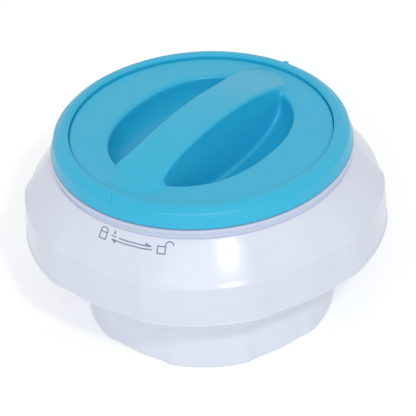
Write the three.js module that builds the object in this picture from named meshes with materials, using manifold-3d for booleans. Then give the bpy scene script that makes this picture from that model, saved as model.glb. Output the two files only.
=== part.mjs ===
// Floating chlorine dispenser: a five-lobed float with a tablet basket under it, a push-and-turn lid on top
// and a rotary vent regulator under the basket. Millimetres, +Z up, +X along the grip bar of the closed lid.
import * as THREE from "three";
import { mergeVertices } from "three/addons/utils/BufferGeometryUtils.js";
import Module from "manifold-3d";

const wasm = await Module();
wasm.setup();

// ---- Driving dimensions -------------------------------------------------------------------------------
const GAP = 0.3; // between pieces that touch
const FACETS = 50; // sides of a full turn
const ROOT = 0.5; // how deep a lug, tooth or tab is rooted in its wall

const LOBES = 5;
const LOBE_HALF_DEG = 21; // half the width of one lobe
const LOBE_BLEND_DEG = 2.7; // how softly a lobe turns into a dip

const THROAT_R = 66; // bore of the neck and the hopper, which the tablets drop through
const NECK_WALL = 2.5;
const NECK_BELOW_PLUG = 3.9;
const HOPPER_WALL = 2.2;
const COLLAR_WIDTH = 10.3;
const COLLAR_T = 2.1;
const COLLAR_EDGE = 0.4;
const COLLAR_FOOT_H = 2.8; // narrower foot of the collar, down to the shoulder
const COLLAR_FOOT_INSET = 1.2;

const BASKET_STEP = 0.8; // basket's wall at its top inside the throat
const BASKET_DRAFT = 1.5;
const BASKET_DIP = 2.2;
const BASKET_DIP_FADE = 8.1; // width over which the dips fade out on the way in
const BASKET_WALL = 2;
const BASKET_EDGE_R = 2.4;
const BASKET_FILLET_H = 3;
const BASKET_FLOOR_T = 2;
const BASKET_FLANGE_W = 6.8;
const BASKET_FLANGE_T = 2;
const FOOT_LAND = 1.6;
const FOOT_CLEARANCE = 2.1; // under the finger tabs of the dial

const SKIRT_BOTTOM_Z = 48.7;
const SKIRT_H = 21.6;
const SKIRT_DRAFT = 1.4;
const SKIRT_DIP = 2.5;
const SKIRT_EDGE_H = 1.4;
const SKIRT_EDGE_W = 0.6;
const SHELL_WALL = 2.2;
const SHOULDER_H = 18.7;
const SHOULDER_WIDTH = 15.4;
const SHOULDER_CROWN_DEG = 3; // half the turn of its slightly crowned slope
const SHOULDER_TUCK = 0.6; // top of the slope inside the edge of the collar

const CLOSURE_RECESS = 1.5;
const CLOSURE_T = 2;
const CLOSURE_CLEARANCE = 2.3; // round the basket
const SCREW_INSET = 5.8; // from the inner face of the skirt
const BOSS_R = 3;
const SCREW_R = 1.5;
const SCREW_HEAD_R = 3;
const SCREW_HEAD_T = 1;
const SCREW_LENGTH = 12;
const FOAM_CLEARANCE = 0.9; // beside the screw bosses
const FOAM_TOP_CLEARANCE = 2; // under the shell

const LID_INSET = 0.6; // lid skirt inside the collar
const LID_LIFT = 0.5; // lid skirt above the collar
const LID_DRAFT = 1.5;
const LID_STEP_W = 1;
const LID_WALL = 1.8;
const RIM_WIDTH = 5.8;
const RIM_TOP_WIDTH = 2.8;
const RIM_H = 2.9; // from the step of the skirt up to the rim
const RIM_BEVEL_H = 2.1;
const RIM_CHAMFER = 0.9;
const SHELF_T = 1.7;
const SHELF_RISE = 3.2; // upper face of the shelf above the lower edge of the lid skirt
const PLUG_CLEARANCE = 4.5; // in the throat, where the bayonet lies
const PLUG_WALL = 2;
const PLUG_DEPTH = 16;
const LEDGE_WIDTH = 5;
const LEDGE_T = 2;
const POINTER_WIDTH_DEG = 1.3;
const POINTER_H = 0.9; // how far it stands out of the rim
const GASKET_INSET = 0.6;
const GASKET_WIDTH = 4;

const UNLOCK_DEG = 24;
const BAYONET_COUNT = 4;
const LUG_DEG = 20;
const LUG_H = 3;
const TAB_DEG = 26; // neck tab that holds a lug down
const TAB_H = 3;
const STOP_DEG = 2;
const STOP_BELOW_LUG = 1;
const BAYONET_CLEARANCE = 0.7;

const PRESS_TRAVEL = 1.8;
const SPRING_PACKED_H = 1.2; // room that the pressed spring keeps
const SPRING_T = 0.5;
const SPRING_WAVES = 5;
const SPRING_MARGIN = 1.7; // from the edges of the shelf
const CLUTCH_COUNT = 12;
const CLUTCH_TOOTH_DEG = 8;
const CLUTCH_TOOTH_H = 1.7;
const CLUTCH_FREE_GAP = 0.6;
const DOG_H = 4;

const DISC_T = 1.5;
const DISC_CLEARANCE = 0.6;
const DISC_RECESS = 2; // disc top below the rim
const HUB_WALL = 2;
const HUB_LIP_H = 1.5;
const GROOVE_DEPTH = 1;
const RETAINER_WIDTH = 4.4;
const RETAINER_T = 1.4;
const RETAINER_FREE_GAP = 0.5; // under the ledge

const BOWL_MARGIN = 3.3; // end of the finger pockets inside the hub's outer face
const BOWL_NARROWING = 18; // how much narrower than long the two pockets are together
const BOWL_SQUARENESS = 2.3; // exponent of the superellipse of their opening
const BOWL_FULLNESS = 3.2; // exponent of the superellipse of their section
const BOWL_DEPTH = 24;
const BOWL_WALL = 2;
const BOWL_LIP = 1.2;
const BAR_OVERRUN = 4.5; // bar past the end of the pockets
const BAR_WIDTH = 24;
const BAR_RISE = 9.5;
const BAR_WALL = 3;
const BAR_EDGE_R = 3;
const BAR_HOLLOW_INSET = 14.5;

const VENT_COUNT = 10;
const VENT_DEG = 13;
const VENT_INNER_R = 20;
const VENT_RIM = 6; // from the vents to the edge of the dial
const DIAL_CLEARANCE = 8; // from the edge of the dial to the dips of the foot
const DIAL_T = 3;
const DIAL_TURN_DEG = 18;
const DIAL_TAB_H = 3.6;
const DIAL_TAB_DEG = 26;
const DIAL_TAB_MARGIN = 1.5; // round the pivot's head
const STOP_PIN_R = 1;
const STOP_PIN_DEG = 90;
const STOP_SLOT_MARGIN_DEG = 1.5;
const STOP_INSET = 8; // stop pin inside the vents
const PIVOT_R = 3.4;
const PIVOT_CLEARANCE = 0.4;
const PIVOT_HEAD_R = 6.5;
const PIVOT_HEAD_T = 1.8;
const PIVOT_HEAD_CHAMFER = 1;
const PIVOT_TIP_H = 1.3;
const WASHER_T = 0.7;
const PUSH_NUT_R = 7.5;
const PUSH_NUT_T = 1.6;

// ---- Radii that follow --------------------------------------------------------------------------------
const neckOuterR = THROAT_R + NECK_WALL;
const shellHoleR = neckOuterR + GAP;
const foamInnerR = shellHoleR + GAP;
const collarR = THROAT_R + COLLAR_WIDTH;
const shoulderTopR = collarR - SHOULDER_TUCK;
const skirtTopR = shoulderTopR + SHOULDER_WIDTH;
const skirtR = skirtTopR + SKIRT_DRAFT; // lobe radius at the lower edge of the float
const skirtInnerR = skirtR - SHELL_WALL;
const screwCircleR = skirtInnerR - SCREW_INSET;
const foamOuterR = screwCircleR - BOSS_R - FOAM_CLEARANCE;

const basketTopR = THROAT_R - BASKET_STEP;
const basketFootR = basketTopR - BASKET_DRAFT;
const basketFlangeR = basketTopR + BASKET_FLANGE_W;
const closureHoleR = basketTopR + CLOSURE_CLEARANCE;
const footInnerR = basketFootR - BASKET_EDGE_R * 0.8 - FOOT_LAND;
const dialR = footInnerR - BASKET_DIP - DIAL_CLEARANCE;
const ventOuterR = dialR - VENT_RIM;
const stopCircleR = VENT_INNER_R - STOP_INSET;
const pivotHoleR = PIVOT_R + PIVOT_CLEARANCE;

const lidSkirtR = collarR - LID_INSET;
const lidSkirtTopR = lidSkirtR - LID_DRAFT;
const rimOuterR = lidSkirtTopR - LID_STEP_W;
const rimInnerR = rimOuterR - RIM_WIDTH;
const rimTopOuterR = rimInnerR + RIM_TOP_WIDTH;
const wellR = rimInnerR - RIM_CHAMFER;
const discR = wellR - DISC_CLEARANCE;
const plugR = THROAT_R - PLUG_CLEARANCE;
const plugInnerR = plugR - PLUG_WALL;
const ledgeHoleR = plugInnerR - LEDGE_WIDTH;
const hubR = ledgeHoleR - BAYONET_CLEARANCE;
const hubInnerR = hubR - HUB_WALL;
const grooveR = hubR - GROOVE_DEPTH;
const bowlLength = 2 * (hubR - BOWL_MARGIN);
const bowlWidth = bowlLength - BOWL_NARROWING;
const barLength = bowlLength + 2 * BAR_OVERRUN;

// ---- Heights that follow ------------------------------------------------------------------------------
const dialBottom = FOOT_CLEARANCE + DIAL_TAB_H;
const dialTop = dialBottom + DIAL_T;
const floorBottom = dialTop + GAP;
const floorTop = floorBottom + BASKET_FLOOR_T;
const closureBottom = SKIRT_BOTTOM_Z + CLOSURE_RECESS;
const closureTop = closureBottom + CLOSURE_T;
const basketFlangeBottom = closureTop + GAP;
const basketTop = basketFlangeBottom + BASKET_FLANGE_T;
const skirtTop = SKIRT_BOTTOM_Z + SKIRT_H;
const shoulderTop = skirtTop + SHOULDER_H;
const collarFootBottom = shoulderTop + GAP;
const collarBottom = collarFootBottom + COLLAR_FOOT_H;
const collarTop = collarBottom + COLLAR_T;
const lidBottom = collarTop + LID_LIFT;
const shelfTop = lidBottom + SHELF_RISE;
const shelfBottom = shelfTop - SHELF_T;
const discBottom = shelfTop + PRESS_TRAVEL + SPRING_PACKED_H;
const discTop = discBottom + DISC_T;
const rimTop = discTop + DISC_RECESS;
const lidStep = rimTop - RIM_H;
const plugBottom = shelfTop - PLUG_DEPTH;
const ledgeTop = plugBottom + LEDGE_T;
const lugTop = plugBottom + LUG_H;
const tabBottom = lugTop + GAP;
const neckBottom = plugBottom - NECK_BELOW_PLUG;
const retainerTop = plugBottom - RETAINER_FREE_GAP;
const retainerBottom = retainerTop - RETAINER_T;

// ---- Shared helpers -----------------------------------------------------------------------------------
const rad = THREE.MathUtils.degToRad;
const clamp = THREE.MathUtils.clamp;

// A closed geometry as a solid, turned the right way out.
function solid(geometry) {
  const bare = geometry.clone();
  bare.deleteAttribute("normal");
  bare.deleteAttribute("uv");
  const merged = mergeVertices(bare, 1e-4);
  const vertProperties = new Float32Array(merged.attributes.position.array);
  const triVerts = new Uint32Array(merged.index.array);
  const make = () => new wasm.Manifold(new wasm.Mesh({ numProp: 3, vertProperties, triVerts }));
  const made = make();
  if (made.volume() > 0) return made;
  for (let i = 0; i < triVerts.length; i += 3) {
    [triVerts[i + 1], triVerts[i + 2]] = [triVerts[i + 2], triVerts[i + 1]];
  }
  return make();
}

// A profile of [radius, height] points, closed on itself or on the axis, turned about Z.
function turned(profile, facets = FACETS) {
  const onAxis = profile[0][0] === 0;
  const loop = onAxis ? profile : [...profile, profile[0]];
  const points = loop.map(([r, z]) => new THREE.Vector2(r, z));
  return new THREE.LatheGeometry(points, facets).rotateX(Math.PI / 2);
}

const round = (profile, facets) => solid(turned(profile, facets));
const tube = (inner, outer, low, high, facets) =>
  round([[inner, low], [outer, low], [outer, high], [inner, high]], facets);
const cylinder = (r, low, high, facets) => round([[0, low], [r, low], [r, high], [0, high]], facets);

// Moves every vertex of a turned geometry to the place that place(angle, radius, height) gives.
function reshaped(geometry, place) {
  const p = geometry.attributes.position;
  for (let i = 0; i < p.count; i++) {
    const r = Math.hypot(p.getX(i), p.getY(i));
    const angle = Math.atan2(p.getY(i), p.getX(i));
    p.setXYZ(i, ...place(angle, r, p.getZ(i)));
  }
  return geometry;
}

// 0 on a lobe and 1 in the dip between two lobes; a lobe lies on +X.
function dipShare(angle) {
  const pitch = 360 / LOBES;
  const turn = THREE.MathUtils.euclideanModulo(THREE.MathUtils.radToDeg(angle) + pitch / 2, pitch);
  return (1 + Math.tanh((Math.abs(turn - pitch / 2) - LOBE_HALF_DEG) / LOBE_BLEND_DEG)) / 2;
}

// A turned profile whose outline dips between the lobes by depthAt(radius).
function lobed(profile, depthAt) {
  const place = (angle, r, z) => {
    const to = r - depthAt(r) * dipShare(angle);
    return [to * Math.cos(angle), to * Math.sin(angle), z];
  };
  return solid(reshaped(turned(profile), place));
}

// A block of an annulus, centred on an angle in degrees.
function sector(inner, outer, low, high, centreDeg, widthDeg) {
  const from = rad(centreDeg - widthDeg / 2);
  const to = rad(centreDeg + widthDeg / 2);
  const outline = new THREE.Shape();
  outline.absarc(0, 0, outer, from, to, false);
  outline.absarc(0, 0, inner, to, from, true);
  outline.closePath();
  const curveSegments = Math.max(2, Math.ceil(widthDeg / 6));
  return solid(new THREE.ExtrudeGeometry(outline, { depth: high - low, bevelEnabled: false, curveSegments })
    .translate(0, 0, low));
}

const turns = (count, offset = 0) => Array.from({ length: count }, (_, i) => offset + (360 / count) * i);
const joined = (base, extras) => extras.reduce((whole, extra) => whole.add(extra), base);
const cutBy = (base, cutters) => cutters.reduce((whole, cutter) => whole.subtract(cutter), base);

function at(radius, deg, shape) {
  return shape.translate([radius * Math.cos(rad(deg)), radius * Math.sin(rad(deg)), 0]);
}

const COLOURS = {
  lid: { color: 0x4fbce0, roughness: 0.32 },
  float: { color: 0xdde2ee, roughness: 0.3 },
  basket: { color: 0xd6ddea, roughness: 0.34 },
  foam: { color: 0xf2f0e6, roughness: 0.9 },
  seal: { color: 0x2c2f33, roughness: 0.8 },
  steel: { color: 0xb9bdc2, roughness: 0.3, metalness: 0.9 },
};

function piece(name, shape, look) {
  const { numProp, numVert, vertProperties, triVerts } = shape.getMesh();
  const position = new Float32Array(numVert * 3);
  for (let i = 0; i < numVert; i++) {
    position.set(vertProperties.subarray(i * numProp, i * numProp + 3), i * 3);
  }
  const geometry = new THREE.BufferGeometry()
    .setAttribute("position", new THREE.BufferAttribute(position, 3))
    .setIndex(new THREE.BufferAttribute(new Uint32Array(triVerts), 1));
  geometry.computeVertexNormals();
  const mesh = new THREE.Mesh(geometry, new THREE.MeshStandardMaterial({ metalness: 0, ...COLOURS[look] }));
  mesh.name = name;
  return mesh;
}

// ---- Float body ---------------------------------------------------------------------------------------

// The circle of the crowned shoulder, which runs from the collar out to the skirt.
function shoulderCircle() {
  const turn = 2 * rad(SHOULDER_CROWN_DEG);
  const start = Math.atan2(SHOULDER_WIDTH, SHOULDER_H) + turn / 2;
  const radius = Math.hypot(SHOULDER_WIDTH, SHOULDER_H) / (2 * Math.sin(turn / 2));
  const centreR = shoulderTopR - radius * Math.cos(start);
  const centreZ = shoulderTop - radius * Math.sin(start);
  return { start, turn, radius, centreR, centreZ };
}

// The shoulder from the collar out to the skirt, at an inset from its outer face.
function shoulderArc(inset, steps) {
  const { start, turn, radius, centreR, centreZ } = shoulderCircle();
  return Array.from({ length: steps + 1 }, (_, i) => {
    const a = start - (turn * i) / steps;
    return [centreR + (radius - inset) * Math.cos(a), centreZ + (radius - inset) * Math.sin(a)];
  });
}

function shoulderHeight(r, inset) {
  const { radius, centreR, centreZ } = shoulderCircle();
  return centreZ + Math.sqrt((radius - inset) ** 2 - (r - centreR) ** 2);
}

// The float's outline dips only where it is wide: nothing at the collar, all of it at the skirt.
const floatDip = (r) => SKIRT_DIP * clamp((r - shoulderTopR) / SHOULDER_WIDTH, 0, 1);

const screwTurns = () => turns(LOBES);
const screwHoles = (low, high) =>
  screwTurns().map((deg) => at(screwCircleR, deg, cylinder(SCREW_R + GAP, low, high, 12)));

function upperFloatShell() {
  const steps = 4;
  const outer = shoulderArc(0, steps);
  const inner = shoulderArc(SHELL_WALL, steps);
  const shell = lobed([
    [skirtR, SKIRT_BOTTOM_Z],
    [skirtTopR + SKIRT_EDGE_W, skirtTop - SKIRT_EDGE_H],
    ...outer.reverse(),
    [shellHoleR, shoulderTop],
    [shellHoleR, shoulderTop - SHELL_WALL],
    ...inner.slice(1),
    [skirtInnerR, SKIRT_BOTTOM_Z],
  ], floatDip);
  const bossTop = shoulderHeight(screwCircleR + BOSS_R, SHELL_WALL / 2);
  const boss = cylinder(BOSS_R, closureTop + GAP, bossTop, 12);
  const bosses = screwTurns().map((deg) => at(screwCircleR, deg, boss));
  return cutBy(joined(shell, bosses), screwHoles(closureBottom, closureTop + SCREW_LENGTH));
}

function closureRing() {
  const outerR = skirtInnerR - 2 * GAP;
  const plate = lobed([
    [closureHoleR, closureBottom],
    [outerR, closureBottom],
    [outerR, closureTop],
    [closureHoleR, closureTop],
  ], floatDip);
  return cutBy(plate, screwHoles(closureBottom - 1, closureTop + 1));
}

function closureScrew(deg) {
  const headTop = closureBottom - GAP;
  const tip = headTop + SCREW_LENGTH;
  return at(screwCircleR, deg, round([
    [0, headTop - SCREW_HEAD_T],
    [SCREW_HEAD_R, headTop - SCREW_HEAD_T],
    [SCREW_HEAD_R, headTop],
    [SCREW_R, headTop],
    [SCREW_R, tip],
    [0, tip],
  ], 12));
}

const hopperTube = () => tube(THROAT_R, THROAT_R + HOPPER_WALL, basketTop + GAP, neckBottom - GAP);

function foamRing() {
  const bottom = basketTop + GAP;
  const underShoulder = shoulderTop - SHELL_WALL - FOAM_TOP_CLEARANCE;
  return round([
    [foamInnerR, bottom],
    [foamOuterR, bottom],
    [foamOuterR, shoulderHeight(foamOuterR, SHELL_WALL + FOAM_TOP_CLEARANCE)],
    [(foamInnerR + foamOuterR) / 2, underShoulder - FOAM_TOP_CLEARANCE],
    [foamInnerR, underShoulder],
  ]);
}

function neckCollar() {
  const ring = round([
    [THROAT_R, neckBottom],
    [neckOuterR, neckBottom],
    [neckOuterR, collarFootBottom],
    [collarR - COLLAR_FOOT_INSET, collarFootBottom],
    [collarR - COLLAR_FOOT_INSET, collarBottom],
    [collarR, collarBottom],
    [collarR, collarTop - COLLAR_EDGE],
    [collarR - COLLAR_EDGE, collarTop],
    [THROAT_R, collarTop],
  ]);
  const tabInnerR = plugR + BAYONET_CLEARANCE;
  const tabOuterR = THROAT_R + ROOT;
  const stopBottom = plugBottom - STOP_BELOW_LUG;
  const tabTop = tabBottom + TAB_H;
  const openStopDeg = UNLOCK_DEG + LUG_DEG / 2 + 1.5 * STOP_DEG;
  const perBayonet = (deg) => [
    sector(tabInnerR, tabOuterR, tabBottom, tabTop, deg, TAB_DEG),
    sector(tabInnerR, tabOuterR, stopBottom, tabTop, deg - (TAB_DEG - STOP_DEG) / 2, STOP_DEG),
    sector(tabInnerR, tabOuterR, stopBottom, tabTop, deg + openStopDeg, STOP_DEG),
  ];
  return joined(ring, bayonetTurns().flatMap(perBayonet));
}

const bayonetTurns = () => turns(BAYONET_COUNT, 180 / BAYONET_COUNT);

// ---- Tablet basket and vent regulator -----------------------------------------------------------------

const basketDip = (r) => BASKET_DIP * clamp((r - dialR - 1) / BASKET_DIP_FADE, 0, 1);
const ventBlocks = (low, high) =>
  turns(VENT_COUNT).map((deg) => sector(VENT_INNER_R, ventOuterR, low, high, deg, VENT_DEG));

function tabletBasket() {
  const cup = lobed([
    [pivotHoleR, floorBottom],
    [footInnerR, floorBottom],
    [footInnerR, 0],
    [footInnerR + FOOT_LAND, 0],
    [basketFootR - BASKET_EDGE_R * 0.25, BASKET_EDGE_R * 0.3],
    [basketFootR, BASKET_EDGE_R],
    [basketTopR, basketFlangeBottom],
    [basketFlangeR, basketFlangeBottom],
    [basketFlangeR, basketTop],
    [basketTopR - BASKET_WALL, basketTop],
    [basketFootR - BASKET_WALL, floorTop + BASKET_FILLET_H],
    [basketFootR - 2 * BASKET_WALL, floorTop],
    [pivotHoleR, floorTop],
  ], basketDip);
  const pin = at(stopCircleR, STOP_PIN_DEG, cylinder(STOP_PIN_R, dialBottom + GAP, floorBottom + ROOT, 12));
  return cutBy(cup, ventBlocks(floorBottom - 1, floorTop + 1)).add(pin);
}

function regulatorDial() {
  const plate = tube(pivotHoleR, dialR, dialBottom, dialTop);
  const endDeg = THREE.MathUtils.radToDeg(STOP_PIN_R / stopCircleR) + STOP_SLOT_MARGIN_DEG;
  const slotHalfWidth = STOP_PIN_R + GAP;
  const slot = sector(stopCircleR - slotHalfWidth, stopCircleR + slotHalfWidth, dialBottom - 1, dialTop + 1,
    STOP_PIN_DEG - DIAL_TURN_DEG / 2, DIAL_TURN_DEG + 2 * endDeg);
  const tabInnerR = PIVOT_HEAD_R + DIAL_TAB_MARGIN;
  const tabOuterR = VENT_INNER_R - BASKET_FLOOR_T;
  const tabs = [0, 180].map((deg) =>
    sector(tabInnerR, tabOuterR, FOOT_CLEARANCE, dialBottom + ROOT, deg, DIAL_TAB_DEG));
  return joined(cutBy(plate, [...ventBlocks(dialBottom - 1, dialTop + 1), slot]), tabs);
}

const washerTop = dialBottom - GAP;
const pivotHeadTop = washerTop - WASHER_T - GAP;
const pivotHeadBottom = pivotHeadTop - PIVOT_HEAD_T;
const pushNutBottom = floorTop + GAP;
const pushNutTop = pushNutBottom + PUSH_NUT_T;

const regulatorPivot = () => round([
  [0, pivotHeadBottom],
  [PIVOT_HEAD_R - PIVOT_HEAD_CHAMFER, pivotHeadBottom],
  [PIVOT_HEAD_R, pivotHeadBottom + PIVOT_HEAD_CHAMFER],
  [PIVOT_HEAD_R, pivotHeadTop],
  [PIVOT_R, pivotHeadTop],
  [PIVOT_R, pushNutTop + PIVOT_TIP_H],
  [0, pushNutTop + PIVOT_TIP_H],
], 24);
const frictionWasher = () => tube(pivotHoleR, PIVOT_HEAD_R, washerTop - WASHER_T, washerTop, 24);
const pushNut = () => tube(PIVOT_R + GAP, PUSH_NUT_R, pushNutBottom, pushNutTop, 24);

// ---- Lid ----------------------------------------------------------------------------------------------

function lidRing() {
  const ring = round([
    [lidSkirtR, lidBottom],
    [lidSkirtTopR, lidStep],
    [rimOuterR, rimTop - RIM_BEVEL_H],
    [rimTopOuterR, rimTop],
    [rimInnerR, rimTop],
    [wellR, rimTop - RIM_CHAMFER],
    [wellR, shelfTop],
    [plugInnerR, shelfTop],
    [plugInnerR, ledgeTop],
    [ledgeHoleR, ledgeTop],
    [ledgeHoleR, plugBottom],
    [plugR, plugBottom],
    [plugR, shelfBottom],
    [lidSkirtTopR - LID_WALL, shelfBottom],
    [lidSkirtR - LID_WALL, lidBottom],
  ]);
  const lugOuterR = THROAT_R - BAYONET_CLEARANCE;
  const lugs = bayonetTurns().map((deg) => sector(plugR - ROOT, lugOuterR, plugBottom, lugTop, deg, LUG_DEG));
  const toothTop = ledgeTop + CLUTCH_TOOTH_H;
  const teeth = turns(CLUTCH_COUNT).map((deg) =>
    sector(ledgeHoleR + ROOT, plugInnerR + ROOT, ledgeTop - ROOT, toothTop, deg, CLUTCH_TOOTH_DEG));
  const tipR = rimOuterR + POINTER_H;
  const pointers = [0, 180].map((deg) =>
    sector(rimTopOuterR + POINTER_H / 3, tipR, lidStep, rimTop - POINTER_H, deg, POINTER_WIDTH_DEG));
  return joined(ring, [...lugs, ...teeth, ...pointers]);
}

function lidGasket() {
  const inner = THROAT_R + GASKET_INSET;
  return tube(inner, inner + GASKET_WIDTH, collarTop + GAP, shelfBottom - GAP);
}

function returnSpring() {
  const low = shelfTop + GAP;
  const high = discBottom - GAP;
  const swing = (high - low - SPRING_T) / 2;
  const inner = plugInnerR + SPRING_MARGIN;
  const outer = wellR - SPRING_MARGIN;
  const flat = turned([[inner, low], [outer, low], [outer, low + SPRING_T], [inner, low + SPRING_T]]);
  const wave = (angle, r, z) =>
    [r * Math.cos(angle), r * Math.sin(angle), z + swing * (1 + Math.cos(SPRING_WAVES * angle))];
  return solid(reshaped(flat, wave));
}

// The bowl: a turned profile whose outline becomes a superellipse, longest along the bar.
function bowl(profile) {
  const stretch = bowlWidth / bowlLength;
  const place = (angle, r, z) => {
    const c = Math.abs(Math.cos(angle)) ** BOWL_SQUARENESS;
    const s = (Math.abs(Math.sin(angle)) / stretch) ** BOWL_SQUARENESS;
    const to = r / (c + s) ** (1 / BOWL_SQUARENESS);
    return [to * Math.cos(angle), to * Math.sin(angle), z];
  };
  return solid(reshaped(turned(profile), place));
}

// Half section of the bowl, a superellipse from the middle of its floor to its lip, grown by a wall.
function bowlSection(wall) {
  const steps = 7;
  return Array.from({ length: steps + 1 }, (_, i) => {
    const a = (Math.PI / 2) * (1 - i / steps);
    const out = Math.abs(Math.cos(a)) ** (2 / BOWL_FULLNESS);
    const down = Math.sin(a) ** (2 / BOWL_FULLNESS);
    return [i === 0 ? 0 : (bowlLength / 2 + wall) * out, discTop - (BOWL_DEPTH + wall) * down];
  });
}

// The grip bar's side view, an arch of a rise above the disc down to a foot, as an extrusion across it.
function barBlock(length, rise, foot, width, bevel) {
  const half = length / 2 - bevel;
  const arch = new THREE.Shape();
  arch.moveTo(-half, foot);
  for (let i = 0; i <= 16; i++) {
    const x = half * (i / 8 - 1);
    arch.lineTo(x, discTop - bevel + rise * (1 - (2 * x / barLength) ** 2));
  }
  arch.lineTo(half, foot);
  arch.closePath();
  const depth = width - 2 * bevel;
  const rounding = { bevelEnabled: bevel > 0, bevelThickness: bevel, bevelSize: bevel, bevelSegments: 3 };
  const options = { depth, ...rounding };
  return solid(new THREE.ExtrudeGeometry(arch, options).translate(0, 0, -depth / 2).rotateX(Math.PI / 2));
}

function gripDisc() {
  const hubBottom = retainerBottom - HUB_LIP_H;
  const disc = round([
    [hubInnerR, hubBottom],
    [hubR, hubBottom],
    [hubR, retainerBottom - GAP],
    [grooveR, retainerBottom - GAP],
    [grooveR, retainerTop + GAP],
    [hubR, retainerTop + GAP],
    [hubR, discBottom],
    [discR, discBottom],
    [discR, discTop],
    [hubInnerR, discTop],
  ]);
  const above = discTop + 1;
  const lip = bowlLength / 2 + BOWL_LIP;
  const bowlOuter = bowl([...bowlSection(BOWL_WALL), [0, discTop]]);
  const pockets = bowl([...bowlSection(0).slice(0, -1), [lip, discTop], [lip, above], [0, above]]);
  const room = bowlOuter.add(cylinder(discR, discBottom, discTop + BAR_RISE + 1));
  const bowlFloor = discTop - BOWL_DEPTH - BOWL_WALL;
  const bar = barBlock(barLength, BAR_RISE, bowlFloor, BAR_WIDTH, BAR_EDGE_R).intersect(room);
  const hollowLength = bowlLength - 2 * BAR_HOLLOW_INSET;
  const hollowWidth = BAR_WIDTH - 2 * BAR_WALL;
  const hollow = barBlock(hollowLength, BAR_RISE - BAR_WALL, bowlFloor - BOWL_DEPTH, hollowWidth, 0);
  const plate = cylinder(hubInnerR + ROOT, discBottom, discTop);
  const tip = ledgeTop + CLUTCH_TOOTH_H + CLUTCH_FREE_GAP;
  const dogs = turns(CLUTCH_COUNT, 180 / CLUTCH_COUNT).map((deg) =>
    sector(hubR - ROOT, plugInnerR - 2 * GAP, tip, tip + DOG_H, deg, CLUTCH_TOOTH_DEG));
  const dished = joined(disc, [plate, bowlOuter]).subtract(pockets).add(bar).subtract(hollow);
  return joined(dished, dogs);
}

const gripRetainer = () => tube(grooveR + GAP, grooveR + GAP + RETAINER_WIDTH, retainerBottom, retainerTop);

// ---- Assembly -----------------------------------------------------------------------------------------

const dispenser = new THREE.Group();

const floatBody = new THREE.Group().add(
  piece("upper_float_shell", upperFloatShell(), "float"),
  piece("float_closure_ring", closureRing(), "float"),
  piece("neck_collar", neckCollar(), "float"),
  piece("hopper_tube", hopperTube(), "basket"),
  piece("foam_float_ring", foamRing(), "foam"),
  piece("tablet_basket", tabletBasket(), "basket"),
  piece("regulator_pivot", regulatorPivot(), "basket"),
  piece("regulator_push_nut", pushNut(), "steel"),
  ...screwTurns().map((deg, i) => piece("closure_screw_" + (i + 1), closureScrew(deg), "steel")),
);

const regulator = new THREE.Group().add(
  piece("regulator_dial", regulatorDial(), "lid"),
  piece("regulator_friction_washer", frictionWasher(), "seal"),
);

const lid = new THREE.Group().add(
  piece("lid_gasket", lidGasket(), "seal"),
  piece("lid_ring", lidRing(), "lid"),
  piece("lid_return_spring", returnSpring(), "steel"),
  piece("grip_disc", gripDisc(), "lid"),
  piece("grip_retainer_ring", gripRetainer(), "lid"),
);

dispenser.add(floatBody, regulator, lid);

export default dispenser;
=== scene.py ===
"""Looks of the floating chlorine dispenser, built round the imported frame.

Sizes are in millimetres, and MM turns them into metres.
"""
import math

import bpy
import numpy as np
from mathutils import Matrix, Vector


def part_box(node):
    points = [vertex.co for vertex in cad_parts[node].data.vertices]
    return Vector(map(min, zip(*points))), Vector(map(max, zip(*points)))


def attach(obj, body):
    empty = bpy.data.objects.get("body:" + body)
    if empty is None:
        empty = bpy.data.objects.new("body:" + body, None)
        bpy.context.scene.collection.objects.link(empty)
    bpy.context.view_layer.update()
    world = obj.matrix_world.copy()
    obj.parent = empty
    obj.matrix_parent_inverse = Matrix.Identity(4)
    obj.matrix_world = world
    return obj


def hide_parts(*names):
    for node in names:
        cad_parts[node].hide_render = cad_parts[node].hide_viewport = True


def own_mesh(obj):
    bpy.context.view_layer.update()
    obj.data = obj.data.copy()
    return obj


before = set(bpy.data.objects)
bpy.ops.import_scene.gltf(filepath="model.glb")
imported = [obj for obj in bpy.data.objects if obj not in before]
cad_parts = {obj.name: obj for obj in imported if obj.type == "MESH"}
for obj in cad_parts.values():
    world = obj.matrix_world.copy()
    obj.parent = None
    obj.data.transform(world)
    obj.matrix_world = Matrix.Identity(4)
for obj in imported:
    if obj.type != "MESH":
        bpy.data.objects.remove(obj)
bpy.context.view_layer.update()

MM = 0.001
TURN = 2 * math.pi


# ---- Sizes taken from the frame -----------------------------------------------------------------------
def span(node):
    """Lowest and highest corner of a CAD node, in millimetres."""
    low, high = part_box(node)
    return np.array(low) / MM, np.array(high) / MM


def outer_radius(node):
    """Largest distance of a CAD node's vertices from the Z axis, in millimetres."""
    co = np.array([v.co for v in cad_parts[node].data.vertices])
    return float(np.hypot(co[:, 0], co[:, 1]).max()) / MM


def inner_radius(node):
    """Smallest distance of a CAD node's vertices from the Z axis, in millimetres."""
    co = np.array([v.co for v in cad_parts[node].data.vertices])
    return float(np.hypot(co[:, 0], co[:, 1]).min()) / MM


SHELL_LOW, SHELL_HIGH = (p[2] for p in span("upper_float_shell"))
SKIRT_R = outer_radius("upper_float_shell")
COLLAR_LOW, COLLAR_TOP = (p[2] for p in span("neck_collar"))
COLLAR_R = outer_radius("neck_collar")
LID_PLUG_Z, RIM_TOP = (p[2] for p in span("lid_ring"))
LID_R = outer_radius("lid_ring")
GASKET_LOW, GASKET_TOP = (p[2] for p in span("lid_gasket"))
SPRING_LOW, SPRING_TOP = (p[2] for p in span("lid_return_spring"))
GRIP_LOW, BAR_TOP = (p[2] for p in span("grip_disc"))
DISC_R = outer_radius("grip_disc")
BASKET_TOP = span("tablet_basket")[1][2]
BASKET_FLANGE_R = outer_radius("tablet_basket")
CLOSURE_LOW, CLOSURE_TOP = (p[2] for p in span("float_closure_ring"))

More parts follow.
